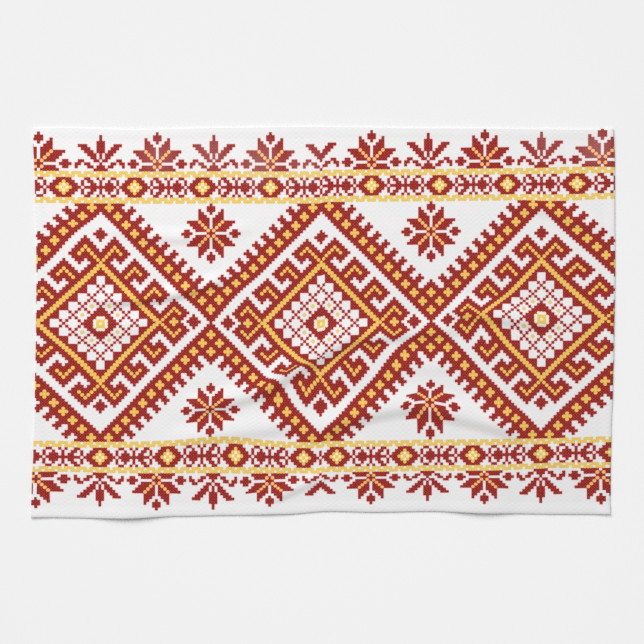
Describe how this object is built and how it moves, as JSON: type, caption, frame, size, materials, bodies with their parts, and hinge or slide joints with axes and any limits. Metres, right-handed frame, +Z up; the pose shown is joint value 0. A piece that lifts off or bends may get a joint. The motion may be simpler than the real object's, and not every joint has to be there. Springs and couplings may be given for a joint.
{
  "type": "printed tea towel",
  "caption": "Waffle-weave kitchen tea towel laid out flat with soft folds, white with a red and yellow cross-stitch print of diamonds, stars, leaves and bands.",
  "frame": {"origin": "centre of the towel's outline box, on the surface that the towel rests on", "axes": "+X along the long side, towards the print's right as it is read; +Y across, towards the top of the print; +Z up, off the surface"},
  "size_m": [0.61, 0.4096, 0.006],
  "materials": {
    "printed_cotton": "white cotton waffle weave, matt, printed on its upper side in dark red and warm yellow"
  },
  "bodies": {
    "root": {"towel": "printed_cotton"}
  },
  "joints": []
}
